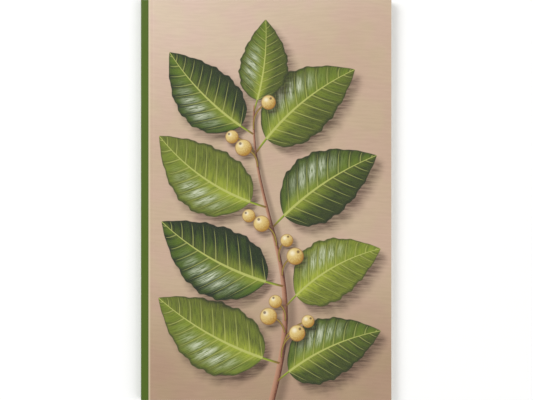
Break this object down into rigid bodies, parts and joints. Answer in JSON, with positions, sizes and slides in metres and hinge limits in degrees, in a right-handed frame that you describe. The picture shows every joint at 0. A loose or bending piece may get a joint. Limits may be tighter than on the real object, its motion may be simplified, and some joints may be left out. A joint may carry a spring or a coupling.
{
  "type": "paperback book",
  "caption": "Slim perfect-bound paperback lying on its back cover: laminated card cover folded round glued paper leaves, its front cover hinged at the spine.",
  "frame": {"origin": "middle of the back cover's outer face, on the surface that the closed book lies on", "axes": "+X from the spine to the fore-edge, +Y from the tail to the head, +Z from the back cover to the front cover"},
  "size_m": [0.127, 0.2032, 0.0058],
  "materials": {
    "cover_card": "laminated card, satin, printed green on the spine and tan with green leaves on the covers",
    "text_paper": "uncoated white text paper",
    "hot_melt": "amber-white hot-melt adhesive"
  },
  "bodies": {
    "book": {"back_cover_and_spine": "cover_card", "spine_glue": "hot_melt", "leaf_01": "text_paper", "leaf_02": "text_paper", "leaf_03": "text_paper", "leaf_04": "text_paper", "leaf_05": "text_paper", "leaf_06": "text_paper", "leaf_07": "text_paper", "leaf_08": "text_paper", "leaf_09": "text_paper", "leaf_10": "text_paper", "leaf_11": "text_paper", "leaf_12": "text_paper", "leaf_13": "text_paper", "leaf_14": "text_paper", "leaf_15": "text_paper", "leaf_16": "text_paper", "leaf_17": "text_paper", "leaf_18": "text_paper", "leaf_19": "text_paper", "leaf_20": "text_paper"},
    "front_panel": {"front_cover": "cover_card"}
  },
  "joints": [
    {"name": "front_cover_fold", "type": "hinge", "parent": "book", "child": "front_panel", "pos_m": [-0.06335, 0, 0.0044], "axis": [0, -1, 0], "range_deg": [0, 178]}
  ]
}
